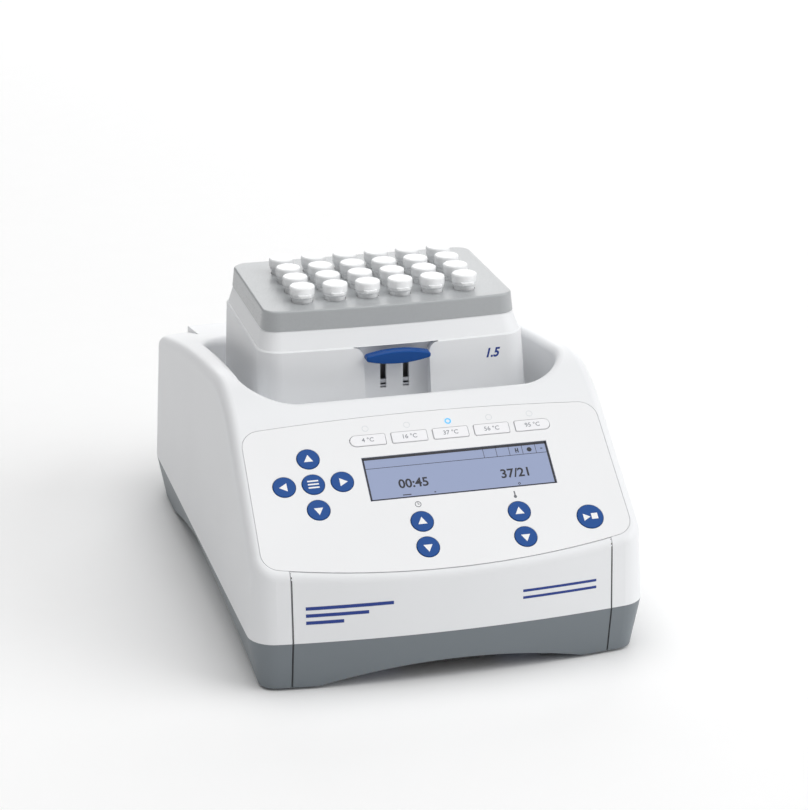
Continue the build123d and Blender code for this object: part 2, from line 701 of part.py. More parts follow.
def heat_sink():
    """Finned aluminium heat sink under the thermoelectric tiles."""
    width, depth, height = SINK_SIZE
    sink = Pos(0, STACK_CENTRE_Y, SINK_TOP_Z - height / 2) * Box(width, depth, height)
    fin_z = SINK_TOP_Z - height - FIN_HEIGHT / 2
    pitch = (width - FIN_THICKNESS) / (FIN_COUNT - 1)
    for index in range(FIN_COUNT):
        x = -width / 2 + FIN_THICKNESS / 2 + index * pitch
        sink += Pos(x, STACK_CENTRE_Y, fin_z) * Box(FIN_THICKNESS, depth, FIN_HEIGHT)
    return sink


def fan_frame():
    """Square fan frame with its duct, three struts, the motor base and the shaft."""
    low_z = FAN_TOP_Z - FAN_THICKNESS
    frame = slab(RectangleRounded(FAN_SIZE, FAN_SIZE, 4), low_z, FAN_TOP_Z)
    frame -= rod(FAN_DUCT_DIAMETER, (0, 0, low_z - 1), FAN_TOP_Z + 1)
    hole = FAN_SIZE / 2 - 4.5
    for x in (-hole, hole):
        for y in (-hole, hole):
            frame -= rod(4, (x, y, low_z - 1), FAN_TOP_Z + 1)
    frame += rod(FAN_HUB_DIAMETER, (0, 0, low_z), low_z + 3)
    for angle in (90, 210, 330):
        strut = box_between((0, -2, low_z), (FAN_DUCT_DIAMETER / 2 + 0.5, 2, low_z + 3))
        frame += Rot(0, 0, angle) * strut
    frame += rod(FAN_SHAFT_DIAMETER, (0, 0, low_z + 2), FAN_TOP_Z - 5)
    return Pos(0, STACK_CENTRE_Y, 0) * frame


def fan_rotor():
    """Fan rotor: a hub cup that runs on the shaft, with seven pitched blades."""
    low_z = FAN_TOP_Z - FAN_THICKNESS + 4
    high_z = FAN_TOP_Z - 2
    hub = rod(FAN_HUB_DIAMETER, (0, 0, low_z), high_z)
    hub -= rod(FAN_HUB_DIAMETER - 4, (0, 0, low_z - 1), high_z - 3)
    hub += rod(FAN_SHAFT_DIAMETER + 4, (0, 0, low_z), high_z)
    tip_radius = FAN_DUCT_DIAMETER / 2 - 1.2
    blade = Pos((tip_radius + 10) / 2, 0, 0) * Box(tip_radius - 10, 1.6, 17)
    blade = Pos(0, 0, (low_z + high_z) / 2) * Rot(38, 0, 0) * blade
    reach = rod(2 * tip_radius, (0, 0, low_z), high_z - 1)
    core = rod(FAN_HUB_DIAMETER - 1, (0, 0, 0), FAN_TOP_Z)
    blade = (blade & reach) - core
    for index in range(FAN_BLADES):
        hub += Rot(0, 0, index * 360 / FAN_BLADES) * blade
    hub -= rod(FAN_SHAFT_DIAMETER + 0.1, (0, 0, low_z - 1), FAN_TOP_Z - 4)
    return Pos(0, STACK_CENTRE_Y, 0) * hub


def power_supply():
    """Enclosed power supply behind the well, with its terminal block."""
    width, depth, height = SUPPLY_SIZE
    x, y = SUPPLY_CENTRE
    low_z = SUPPLY_LOW_Z
    case = box_between((x - width / 2, y - depth / 2, low_z), (x + width / 2, y + depth / 2, low_z + height))
    case = chamfer(case.edges().filter_by(Axis.Z), 1.5)
    terminal = box_between(
        (x + width / 2, y - 14, low_z + 6), (x + width / 2 + 9, y + 14, low_z + 20)
    )
    return case + terminal


def rear_face_y(z):
    """Y of the outside of the sloping rear wall at a height."""
    return REAR_Y - (z - SPLIT_Z) * math.tan(math.radians(TOP_DRAFT))


def inlet_plane():
    """Plane on the rear wall at the middle of the inlet, facing outward."""
    lean = math.radians(TOP_DRAFT)
    return Plane(
        origin=(INLET_X, rear_face_y(INLET_Z), INLET_Z),
        x_dir=(-1, 0, 0),
        z_dir=(0, math.cos(lean), math.sin(lean)),
    )


def on_rear(sketch, low, high):
    """Prism standing on the rear wall around the inlet."""
    return inlet_plane() * (Pos(0, 0, low) * extrude(sketch, amount=high - low))


def mains_inlet():
    """Three-pin mains inlet and the cradle of the power switch, in one flange."""
    body = on_rear(RectangleRounded(*INLET_BODY, 1), -SOCKET_DEPTH - 2, 0.1)
    body += on_rear(RectangleRounded(*INLET_FLANGE, 2.5), 0.05, INLET_FLANGE_PROUD)
    body -= on_rear(Pos(SOCKET_X, 0) * Rectangle(*SOCKET_SIZE), -SOCKET_DEPTH, 1)
    rocker_width, rocker_height = ROCKER_SIZE
    pocket = Rectangle(rocker_width + 1.2, rocker_height + 1.2)
    body -= on_rear(Pos(ROCKER_X, 0) * pocket, -SOCKET_DEPTH + 3, 1)
    for x, v in ((-7, -2), (0, 2.5), (7, -2)):
        body += on_rear(Pos(SOCKET_X + x, v) * Rectangle(2, 4), -SOCKET_DEPTH - 1, -5)
    return body


def power_switch():
    """Rocker of the power switch, in its middle position."""
    width, height = ROCKER_SIZE
    face = make_face([
        Line((-height / 2, -9), (height / 2, -9)),
        Line((height / 2, -9), (height / 2, -1.6)),
        ThreePointArc((height / 2, -1.6), (0, -3.4), (-height / 2, -1.6)),
        Line((-height / 2, -1.6), (-height / 2, -9)),
    ])
    trimmed = face & Pos(0, -4) * Circle(height / 2 + 0.5)
    plane = Plane(origin=(0, 0, 0), x_dir=(0, 1, 0), z_dir=(1, 0, 0))
    rocker = Pos(ROCKER_X - width / 2, 0, 0) * (plane * extrude(trimmed, amount=width))
    return inlet_plane() * rocker


# ---------------------------------------------------------------------------
# Lift-off block
# ---------------------------------------------------------------------------
def tube_spots():
    """Name and place of every tube, row a at the front."""
    spots = {}
    for row in range(TUBE_ROWS):
        for column in range(TUBE_COLUMNS):
            x = (column - (TUBE_COLUMNS - 1) / 2) * TUBE_PITCH
            y = STACK_CENTRE_Y + (row - (TUBE_ROWS - 1) / 2) * TUBE_PITCH
            spots["abcd"[row] + str(column + 1)] = (x, y)
    return spots


def tube_cavity_shape(radius, tip_radius, rim_z, tip_z):
    """Solid of revolution with a straight neck, a cone and a round tip."""
    cone_top = tip_z + TUBE_CONE_LENGTH
    centre_z = tip_z + tip_radius
    face = make_face([
        Line((0, rim_z), (radius, rim_z)),
        Line((radius, rim_z), (radius, cone_top)),
        Line((radius, cone_top), (tip_radius, centre_z)),
        ThreePointArc(
            (tip_radius, centre_z),
            (tip_radius * math.sqrt(0.5), centre_z - tip_radius * math.sqrt(0.5)),
            (0, tip_z),
        ),
        Line((0, tip_z), (0, rim_z)),
    ])
    return revolve(Plane.XZ * face, Axis.Z)


def test_tube():
    """One closed micro test tube: the hollow tube and its lid with thumb tab and hinge."""
    tip_z = TUBE_RIM_TOP_Z - TUBE_LENGTH
    tube = tube_cavity_shape(TUBE_DIAMETER / 2, TUBE_TIP_RADIUS, TUBE_RIM_TOP_Z, tip_z)
    rim = rod(TUBE_RIM_DIAMETER, (0, 0, TUBE_RIM_LOW_Z), TUBE_RIM_TOP_Z)
    tube += chamfer(rim.edges().group_by(Axis.Z)[0], 0.6)
    inner_radius = TUBE_DIAMETER / 2 - TUBE_WALL
    tube -= tube_cavity_shape(inner_radius, TUBE_TIP_RADIUS - 0.7, TUBE_RIM_TOP_Z + 1, tip_z + TUBE_WALL)
    lid_low = TUBE_RIM_TOP_Z
    lid = rod(LID_DIAMETER, (0, 0, lid_low), lid_low + LID_THICKNESS)
    lid = fillet(lid.edges().group_by(Axis.Z)[-1], 1)
    lid = fillet(lid.edges().group_by(Axis.Z)[0], 0.6)
    lid += rod(2 * inner_radius - 0.1, (0, 0, lid_low - LID_PLUG_LENGTH), lid_low)
    tab = slab(Pos(0, -LID_DIAMETER / 2) * SlotOverall(7, 3.4), lid_low, lid_low + 1.2)
    hinge = box_between((-1.6, LID_DIAMETER / 2 - 1, lid_low), (1.6, LID_DIAMETER / 2 + 1, lid_low + 1))
    return [tube, lid + tab + hinge]


def heating_block():
    """Aluminium block with one tapered bore for each tube."""
    width, depth = HEATING_BLOCK_SIZE
    top_z = COVER_BOTTOM_Z - 0.2
    block = Pos(0, STACK_CENTRE_Y, (BLOCK_BOTTOM_Z + top_z) / 2) * Box(width, depth, top_z - BLOCK_BOTTOM_Z)
    bore_radius = TUBE_DIAMETER / 2 + BORE_CLEARANCE
    bore_tip_z = TUBE_RIM_TOP_Z - TUBE_LENGTH - 1.5 * BORE_CLEARANCE
    bore = tube_cavity_shape(bore_radius, TUBE_TIP_RADIUS + BORE_CLEARANCE, top_z + 1, bore_tip_z)
    for x, y in tube_spots().values():
        block -= Pos(x, y, 0) * bore
    return block


def tier_section(z, half_width, front_y, rear_y, radius, inset):
    """Plan outline of the block housing at one height."""
    inner = (half_width - inset, front_y + inset, HOUSING_FRONT_BOW, rear_y - inset, radius - inset)
    return Pos(0, 0, z) * bowed_outline(*inner)


def tier_form(inset):
    """Outer form of the block housing, or its inside when inset by the wall."""
    foot = tier_section(BLOCK_BOTTOM_Z - inset, *HOUSING_FOOT, inset)
    rim = tier_section(LEDGE_Z - inset, *LEDGE_RIM, inset)
    top = tier_section(COVER_BOTTOM_Z + inset, *HOUSING_TOP, inset)
    if inset:
        return loft([foot, rim, top], ruled=True)
    rounded_rim = tier_section(LEDGE_Z + LEDGE_STEP, *LEDGE_RIM, LEDGE_STEP)
    upper_foot = tier_section(LEDGE_Z + LEDGE_STEP + 0.1, *UPPER_FOOT, 0)
    return loft([foot, rim, rounded_rim, upper_foot, top], ruled=True)


def lever_bay():
    """Recess in the front of the lower tier, with rounded shoulders at the ledge."""
    front_y = HOUSING_FOOT[1] - 2
    top_z = LEDGE_Z + LEDGE_STEP
    bay = box_between((-BAY_HALF_WIDTH, front_y, BLOCK_BOTTOM_Z - 5), (BAY_HALF_WIDTH, BAY_BACK_Y, top_z))
    radius = BAY_SHOULDER_RADIUS
    for side in (-1, 1):
        corner_x = side * (BAY_HALF_WIDTH + radius)
        corner_z = LEDGE_Z - radius
        block = box_between(
            (min(side * BAY_HALF_WIDTH, corner_x), front_y, corner_z),
            (max(side * BAY_HALF_WIDTH, corner_x), BAY_BACK_Y, top_z),
        )
        shoulder = Pos(corner_x, (front_y + BAY_BACK_Y) / 2, corner_z) * (
            Rot(90, 0, 0) * Cylinder(radius, BAY_BACK_Y - front_y + 2)
        )
        bay += block - shoulder
    return bay


def block_housing():
    """White two-tier plastic housing of the block, open at the top and the bottom."""
    bay_half = BAY_HALF_WIDTH + BAY_SHOULDER_RADIUS + HOUSING_WALL
    bay_walls = box_between(
        (-bay_half, HOUSING_FOOT[1], BLOCK_BOTTOM_Z - 9),
        (bay_half, BAY_BACK_Y + HOUSING_WALL, LEDGE_Z + LEDGE_STEP + HOUSING_WALL),
    )
    housing = tier_form(0) - (tier_form(HOUSING_WALL) - bay_walls) - lever_bay()
    for side in (-1, 1):
        housing -= box_between(
            (side * SLOT_X - SLOT_WIDTH / 2, BAY_BACK_Y - 1, SLOT_BOTTOM_Z),
            (side * SLOT_X + SLOT_WIDTH / 2, BAY_BACK_Y + HOUSING_WALL + 1, SLOT_TOP_Z),
        )
    return housing


def block_cover():
    """Grey top cover of the block with a hole for each tube."""
    outline = bowed_outline(COVER_HALF_WIDTH, COVER_FRONT_Y, HOUSING_FRONT_BOW, COVER_REAR_Y, COVER_RADIUS)
    height = COVER_TOP_Z - COVER_BOTTOM_Z
    cover = Pos(0, 0, COVER_BOTTOM_Z) * extrude(outline, amount=height, taper=COVER_DRAFT)
    cover = fillet(cover.edges().group_by(Axis.Z)[-1], 1.2)
    for x, y in tube_spots().values():
        cover -= rod(TUBE_DIAMETER + 2 * BORE_CLEARANCE, (x, y, COVER_BOTTOM_Z - 1), COVER_TOP_Z + 1)
    return cover


def release_lever():
    """Blue lens-shaped bar on two arms that run down the slots."""
    half = LEVER_HALF_LENGTH
    bow = LEVER_HEIGHT / 2
    end = LEVER_END_HEIGHT / 2
    lens = make_face([
        ThreePointArc((-half, end), (0, bow), (half, end)),
        Line((half, end), (half, -end)),
        ThreePointArc((half, -end), (0, -bow), (-half, -end)),
        Line((-half, -end), (-half, end)),
    ])
    lens = fillet(lens.vertices(), 1.4)
    lens = Pos(0, LEVER_CENTRE_Z) * lens
    bar = Pos(0, LEVER_BACK_Y, 0) * extrude(Plane.XZ * lens, amount=LEVER_BACK_Y - LEVER_FRONT_Y)
    bar = fillet(bar.edges().group_by(Axis.Y)[0], 1)
    arm_top = SLOT_TOP_Z - 0.3
    for side in (-1, 1):
        bar += box_between(
            (side * SLOT_X - ARM_WIDTH / 2, LEVER_BACK_Y - 1, arm_top - ARM_HEIGHT),
            (side * SLOT_X + ARM_WIDTH / 2, BAY_BACK_Y + HOUSING_WALL + 1.6, arm_top),
        )
    return bar


# ---------------------------------------------------------------------------
# Export
# ---------------------------------------------------------------------------
def as_shape(piece):
    """A single solid stays as it is, and a group becomes one compound."""
    if isinstance(piece, list):
        return Compound(children=[solid for item in piece for solid in item.solids()])
    solids = piece.solids()
    return solids[0] if len(solids) == 1 else Compound(children=solids)


def build():
    """All sub-parts by node name."""
    shell = casing_shell()
    parts = {
        "upper_housing": upper_housing(shell),
        "front_panel": front_panel(shell),
        "base_tray": base_tray(),
        "front_skirt": front_skirt(),
        "bottom_plate": bottom_plate(),
        "rubber_feet": rubber_feet(),
        "housing_screws": housing_screws(),
        "keypad_overlay": keypad_overlay(rounded_top_form()),
        "display_board": display_board(),
        "power_supply": power_supply(),
        "mains_inlet": mains_inlet(),
        "power_switch": power_switch(),
        "heating_plate": heating_plate(),
        "peltier_elements": peltier_elements(),
        "heat_sink": heat_sink(),
        "fan_frame": fan_frame(),
        "fan_rotor": fan_rotor(),
        "heating_block": heating_block(),
        "block_housing": block_housing(),
        "block_cover": block_cover(),
        "release_lever": release_lever(),
    }
    for name in KEY_NAMES:
        parts[f"key_{name}"] = key(name)
    for name, (x, y) in tube_spots().items():
        parts[f"tube_{name}"] = [Pos(x, y, 0) * solid for solid in test_tube()]
    return parts


os.makedirs("parts", exist_ok=True)
for node, piece in build().items():
    export_step(as_shape(piece), f"parts/{node}.step")
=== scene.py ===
import json
import math

import bmesh
import bpy
from mathutils import Matrix, Vector


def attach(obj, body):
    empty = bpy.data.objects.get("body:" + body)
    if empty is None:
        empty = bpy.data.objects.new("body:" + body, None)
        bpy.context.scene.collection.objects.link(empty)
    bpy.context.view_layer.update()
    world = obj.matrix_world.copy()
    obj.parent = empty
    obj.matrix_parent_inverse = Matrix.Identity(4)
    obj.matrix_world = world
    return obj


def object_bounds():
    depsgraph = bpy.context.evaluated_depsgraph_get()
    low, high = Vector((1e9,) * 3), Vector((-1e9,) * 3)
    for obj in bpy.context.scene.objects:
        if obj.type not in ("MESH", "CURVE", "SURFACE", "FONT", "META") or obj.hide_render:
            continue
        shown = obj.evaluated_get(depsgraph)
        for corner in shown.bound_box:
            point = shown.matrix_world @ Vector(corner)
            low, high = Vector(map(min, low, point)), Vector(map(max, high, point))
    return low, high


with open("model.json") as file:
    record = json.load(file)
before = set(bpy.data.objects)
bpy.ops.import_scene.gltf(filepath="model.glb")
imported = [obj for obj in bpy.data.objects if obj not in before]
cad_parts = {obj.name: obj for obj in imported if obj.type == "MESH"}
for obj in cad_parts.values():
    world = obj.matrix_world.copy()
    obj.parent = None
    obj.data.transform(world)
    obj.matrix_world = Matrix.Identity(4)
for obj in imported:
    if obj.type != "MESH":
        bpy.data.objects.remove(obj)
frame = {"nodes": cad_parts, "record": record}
cad_low, cad_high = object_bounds()
nodes = frame["nodes"]

# ---------------------------------------------------------------------------
# Driving values, in metres and degrees. A length in millimetres times MM is in metres.
# ---------------------------------------------------------------------------
MM = 0.001
PANEL_TILT = 37.9
PANEL_ORIGIN = Vector((0, -143.1, 61.8)) * MM

CAMERA_PLACE = Vector((-0.2853, -1.1553, 0.5182))
CAMERA_HEADING = 14.48
CAMERA_PITCH = 19.88
CAMERA_ROLL = -0.2
CAMERA_LENS = 106.67
CAMERA_SENSOR = 36

INK_THICKNESS = 0.04 * MM
DIGIT_SHARE = 0.73


# ---------------------------------------------------------------------------
# Material helpers
# ---------------------------------------------------------------------------
def new_material(name):
    """An empty node material with its Principled shader and object coordinates."""
    material = bpy.data.materials.new(name)
    material.use_nodes = True
    tree = material.node_tree
    shader = tree.nodes["Principled BSDF"]
    place = tree.nodes.new("ShaderNodeTexCoord")
    return material, tree, shader, place.outputs["Object"]


def noise(tree, place, scale, detail=3.0, roughness=0.5):
    """A noise texture in object space. The scale is in features per metre."""
    node = tree.nodes.new("ShaderNodeTexNoise")
    node.inputs["Scale"].default_value = scale
    node.inputs["Detail"].default_value = detail
    node.inputs["Roughness"].default_value = roughness
    tree.links.new(place, node.inputs["Vector"])
    return node.outputs["Fac"]


def ramp(tree, value, low, high, low_at=0.3, high_at=0.7):
    """Maps a value between two greys or colours."""
    node = tree.nodes.new("ShaderNodeValToRGB")
    first, last = node.color_ramp.elements
    first.position, last.position = low_at, high_at
    first.color = (*low, 1)
    last.color = (*high, 1)
    tree.links.new(value, node.inputs["Fac"])
    return node.outputs["Color"]


def spread(tree, value, low, high):
    """Maps a value from 0..1 to a narrow range of numbers."""
    node = tree.nodes.new("ShaderNodeMapRange")
    node.inputs["To Min"].default_value = low
    node.inputs["To Max"].default_value = high
    tree.links.new(value, node.inputs["Value"])
    return node.outputs["Result"]


def bump(tree, shader, value, strength, distance):
    """Raises the surface by a texture value."""
    node = tree.nodes.new("ShaderNodeBump")
    node.inputs["Strength"].default_value = strength
    node.inputs["Distance"].default_value = distance
    tree.links.new(value, node.inputs["Height"])
    tree.links.new(node.outputs["Normal"], shader.inputs["Normal"])


def shades(colour, amount):
    """A colour a little darker and a little lighter."""
    low = tuple(max(0.0, c * (1 - amount)) for c in colour)
    high = tuple(min(1.0, c * (1 + amount)) for c in colour)
    return low, high


def moulded(name, colour, rough=(0.38, 0.48), grain=2600, grain_depth=0.02, specular=0.45):
    """Injection-moulded plastic: fine spark-eroded grain, faint flow shading."""
    material, tree, shader, place = new_material(name)
    flow = noise(tree, place, 14, 2.0)
    tree.links.new(ramp(tree, flow, *shades(colour, 0.012)), shader.inputs["Base Color"])
    fine = noise(tree, place, grain, 2.0, 0.6)
    tree.links.new(spread(tree, fine, *rough), shader.inputs["Roughness"])
    bump(tree, shader, fine, 0.25, grain_depth * MM)
    shader.inputs["Specular IOR Level"].default_value = specular
    return material


def machined(name, colour, along=(1, 1, 30), rough=(0.28, 0.42)):
    """Machined metal: fine stretched tool marks."""
    material, tree, shader, place = new_material(name)
    mapping = tree.nodes.new("ShaderNodeMapping")
    mapping.inputs["Scale"].default_value = along
    tree.links.new(place, mapping.inputs["Vector"])
    marks = noise(tree, mapping.outputs["Vector"], 400, 4.0)
    tree.links.new(ramp(tree, marks, *shades(colour, 0.06)), shader.inputs["Base Color"])
    tree.links.new(spread(tree, marks, *rough), shader.inputs["Roughness"])
    bump(tree, shader, marks, 0.2, 0.02 * MM)
    shader.inputs["Metallic"].default_value = 1.0
    return material


def painted_sheet(name, colour):
    """Sheet steel with a thin powder coat: orange-peel bump."""
    material, tree, shader, place = new_material(name)
    peel = noise(tree, place, 900, 2.0)
    tree.links.new(ramp(tree, peel, *shades(colour, 0.08)), shader.inputs["Base Color"])
    tree.links.new(spread(tree, peel, 0.45, 0.6), shader.inputs["Roughness"])
    bump(tree, shader, peel, 0.3, 0.04 * MM)
    return material


def translucent(name, colour):
    """Natural polypropylene: milky, slightly uneven, soft subsurface glow."""
    material, tree, shader, place = new_material(name)
    cloud = noise(tree, place, 220, 3.0)
    tree.links.new(ramp(tree, cloud, *shades(colour, 0.02)), shader.inputs["Base Color"])
    tree.links.new(spread(tree, cloud, 0.22, 0.32), shader.inputs["Roughness"])
    bump(tree, shader, cloud, 0.05, 0.01 * MM)
    shader.inputs["Subsurface Weight"].default_value = 0.2
    shader.inputs["Subsurface Radius"].default_value = (1.0, 1.0, 1.0)
    shader.inputs["Subsurface Scale"].default_value = 0.002
    return material


def ink(name, colour, rough=0.5):
    """Screen-printed ink: slightly uneven cover."""
    material, tree, shader, place = new_material(name)
    cover = noise(tree, place, 1800, 2.0)
    tree.links.new(ramp(tree, cover, *shades(colour, 0.05)), shader.inputs["Base Color"])
    tree.links.new(spread(tree, cover, rough - 0.05, rough + 0.05), shader.inputs["Roughness"])
    return material


def backlit(name, colour, strength):
    """Backlit display surface: even glow with faint pixel rows."""
    material, tree, shader, place = new_material(name)
    rows = tree.nodes.new("ShaderNodeTexWave")
    rows.wave_type = "BANDS"
    rows.bands_direction = "X"
    rows.inputs["Scale"].default_value = 600
    rows.inputs["Distortion"].default_value = 0.0
    tree.links.new(place, rows.inputs["Vector"])
    tint = ramp(tree, rows.outputs["Fac"], *shades(colour, 0.012))
    tree.links.new(tint, shader.inputs["Base Color"])
    tree.links.new(tint, shader.inputs["Emission Color"])
    shader.inputs["Emission Strength"].default_value = strength
    shader.inputs["Roughness"].default_value = 0.35
    return material


WHITE = (0.84, 0.85, 0.865)
materials = {
    "white_shell": moulded("white_shell_plastic", WHITE),
    "grey_base": moulded("grey_base_plastic", (0.18, 0.205, 0.225), rough=(0.36, 0.48)),
    "grey_cover": moulded("grey_cover_plastic", (0.43, 0.445, 0.455), rough=(0.24, 0.32)),
    "dark_steel": painted_sheet("dark_sheet_steel", (0.02, 0.022, 0.025)),
    "foot_rubber": moulded("foot_rubber", (0.02, 0.02, 0.022), rough=(0.7, 0.85), grain=1200),
    "zinc_steel": machined("zinc_steel", (0.62, 0.63, 0.65)),
    "overlay_foil": moulded("overlay_foil", (0.85, 0.855, 0.865), rough=(0.32, 0.40), grain=3400),
    "display_glass": backlit("display_backlight", (0.25, 0.30, 0.46), 0.15),
    "supply_case": machined("galvanised_case", (0.5, 0.51, 0.51), along=(1, 1, 1), rough=(0.4, 0.6)),
    "black_plastic": moulded("black_plastic", (0.012, 0.012, 0.013), rough=(0.4, 0.55)),
    "bare_aluminium": machined("bare_aluminium", (0.50, 0.51, 0.52), rough=(0.36, 0.5)),
    "ceramic_tile": moulded("ceramic_tile", (0.78, 0.78, 0.75), rough=(0.2, 0.3)),
    "blue_plastic": moulded("blue_plastic", (0.003, 0.068, 0.29), rough=(0.3, 0.4), specular=0.25),
    "white_key": moulded("white_key_plastic", (0.88, 0.88, 0.90), rough=(0.34, 0.42)),
    "tube_plastic": translucent("tube_polypropylene", (0.93, 0.94, 0.95)),
    "dark_ink": ink("dark_ink", (0.012, 0.012, 0.02)),
    "grey_ink": ink("grey_ink", (0.16, 0.17, 0.19)),
    "pale_ink": ink("pale_ink", (0.30, 0.31, 0.34)),
    # painted shade: near-black strips laid over the joint gaps on the front, to darken the shadow in
    # them
    "seam_shadow": ink("seam_shadow", (0.03, 0.032, 0.035), rough=0.8),
    "blue_ink": ink("blue_ink", (0.01, 0.04, 0.25)),
    "white_ink": ink("white_ink", (0.9, 0.9, 0.9)),
    "lamp_off": ink("lamp_off", (0.72, 0.74, 0.76)),
    "lamp_on": backlit("lamp_on", (0.10, 0.42, 0.85), 0.5),
}
for part in frame["record"]["subparts"]:
    obj = nodes[part["node"]]
    obj.data.materials.clear()
    obj.data.materials.append(materials[part["material_slot"]])


# ---------------------------------------------------------------------------
# Flat printed pieces
# ---------------------------------------------------------------------------
def panel_frame():
    """Matrix from panel coordinates (x, v, height) to the row frame."""
    tilt = math.radians(PANEL_TILT)
    across = Vector((1, 0, 0))
    up = Vector((0, math.cos(tilt), math.sin(tilt)))
    out = Vector((0, -math.sin(tilt), math.cos(tilt)))
    matrix = Matrix((across, up, out)).transposed().to_4x4()
    return Matrix.Translation(PANEL_ORIGIN) @ matrix


PANEL = panel_frame()


def piece(name, mesh, material, body):
    """Links a mesh as a piece that rides on a body."""
    obj = bpy.data.objects.new(name, mesh)
    bpy.context.scene.collection.objects.link(obj)
    obj.data.materials.append(materials[material])
    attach(obj, body)
    return obj


def extruded(outlines, height, matrix):
    """Thin prisms over outlines given in millimetres, set on a plane."""
    mesh = bpy.data.meshes.new("print")
    work = bmesh.new()
    for outline in outlines:
        low = [work.verts.new((x * MM, y * MM, 0)) for x, y in outline]
        high = [work.verts.new((x * MM, y * MM, height)) for x, y in outline]
        work.faces.new(high)
        work.faces.new(list(reversed(low)))
        count = len(outline)
        for index in range(count):
            after = (index + 1) % count
            work.faces.new((low[index], low[after], high[after], high[index]))
    bmesh.ops.recalc_face_normals(work, faces=work.faces)
    work.transform(matrix)
    work.to_mesh(mesh)
    work.free()
    return mesh


def rectangle(x, y, width, height):
    """Corner points of a rectangle around its centre."""
    w, h = width / 2, height / 2
    return [(x - w, y - h), (x + w, y - h), (x + w, y + h), (x - w, y + h)]


def regular(x, y, radius, count=32, turn=0.0):
    """Points of a regular polygon or a circle."""
    angles = [math.radians(turn) + 2 * math.pi * i / count for i in range(count)]
    return [(x + radius * math.cos(a), y + radius * math.sin(a)) for a in angles]


def ring(x, y, inner, outer, count=48):
    """Quads that make up a flat ring."""
    quads = []
    for i in range(count):
        a = 2 * math.pi * i / count
        b = 2 * math.pi * (i + 1) / count
        quads.append([
            (x + inner * math.cos(a), y + inner * math.sin(a)),
            (x + outer * math.cos(a), y + outer * math.sin(a)),
            (x + outer * math.cos(b), y + outer * math.sin(b)),
            (x + inner * math.cos(b), y + inner * math.sin(b)),
        ])
    return quads


def arrow(x, y, size, turn):
    """A triangle that points up, turned by an angle."""
    return regular(x, y - 0.1 * size, size, 3, 90 + turn)


def number(text, height, matrix, weight=0.0, slant=0.0):
    """Mesh of a short number or unit, centred, with its digit height in millimetres."""
    curve = bpy.data.curves.new("number", "FONT")
    curve.body = text
    curve.size = height * MM / DIGIT_SHARE
    curve.align_x = "CENTER"
    curve.align_y = "CENTER"
    curve.shear = slant
    curve.offset = weight * MM
    curve.extrude = INK_THICKNESS / 2
    curve.resolution_u = 4
    maker = bpy.data.objects.new("number_maker", curve)
    bpy.context.scene.collection.objects.link(maker)
    bpy.context.view_layer.update()
    mesh = bpy.data.meshes.new_from_object(maker.evaluated_get(bpy.context.evaluated_depsgraph_get()))
    bpy.data.objects.remove(maker)
    bpy.data.curves.remove(curve)
    mesh.materials.clear()
    mesh.transform(matrix)
    return mesh


def at_panel(x, v, height):
    """Matrix of a spot on the control panel, in millimetres."""
    return PANEL @ Matrix.Translation(Vector((x, v, height)) * MM)


# ---------------------------------------------------------------------------
# Control panel: symbols, presets, lamps and the display picture, in millimetres.
# x runs across the panel, v up its slope, and heights stand out of it.
# ---------------------------------------------------------------------------
KEY_TOP = 0.35
OVERLAY_TOP = 0.0
SCREEN_TOP = -0.25
MENU_X, MENU_V, MENU_STEP = -59.65, 46.1, 14.3
TIME_X, TEMP_X = -11, 37.7
UPPER_V, LOWER_V, ICON_V = 20, 5.9, 29.6
ROUND_KEYS = {
    "menu": (MENU_X, MENU_V),
    "up": (MENU_X, MENU_V + MENU_STEP),
    "down": (MENU_X, MENU_V - MENU_STEP),
    "left": (MENU_X - MENU_STEP, MENU_V),
    "right": (MENU_X + MENU_STEP, MENU_V),
    "time_up": (TIME_X, UPPER_V),
    "time_down": (TIME_X, LOWER_V),
    "temp_up": (TEMP_X, UPPER_V),
    "temp_down": (TEMP_X, LOWER_V),
    "start_stop": (72.1, 13.1),
}
ARROW_TURNS = {"up": 0, "down": 180, "left": 90, "right": -90}
ARROW_SIZE = 2.6
MENU_BAR_WIDTH, MENU_BAR_HEIGHT, MENU_BAR_PITCH = 5.4, 0.8, 1.8
START_SIZE, START_X = 2.3, -2.3
STOP_SIDE, STOP_X = 3.2, 2.2

PRESETS = (4, 16, 37, 56, 95)
PRESET_FIRST_X, PRESET_PITCH, PRESET_V = -28.4, 21.0, 67.9
PRESET_DIGIT_HEIGHT, PRESET_DIGIT_WEIGHT = 2.4, 0.05
LAMP_V = 74.7
LAMP_RADIUS, LAMP_HOLE, LIT_LAMP_HOLE = 1.7, 1.35, 0.9

# left, right, low and high edges of the display picture
SCREEN = (-33.4, 60.2, 33.9, 58.1)
SCREEN_TOP_EDGE, SCREEN_LOW_EDGE, SCREEN_LEFT_EDGE, SCREEN_RIGHT_EDGE = 1.4, 0.6, 0.8, 0.9
SCREEN_DIGIT_HEIGHT, SCREEN_DIGIT_WEIGHT = 5.0, 0.15
# places on the display picture, as shares of its width from the left and its height from the top
HEADER_SHARE = 0.26
HEADER_LINE, HEADER_DIVIDER = 0.25, 0.22
HEADER_DIVIDERS = (0.65, 0.72, 0.79, 0.862, 0.935)
BARS_SIGN, DOT_SIGN, DASH_SIGN = (0.826, 0.155), (0.9, 0.16), (0.967, 0.16)
DIGITS_SHARE, CAPTION_SHARE = 0.68, 0.93
TIME_SHARE, TEMPERATURE_SHARE = 0.243, 0.795
TIME_DASHES = ((0.195, 4.2), (0.345, 0.9))
DASH_HEIGHT = 0.5
DEGREE_RING_SHARE = 0.80


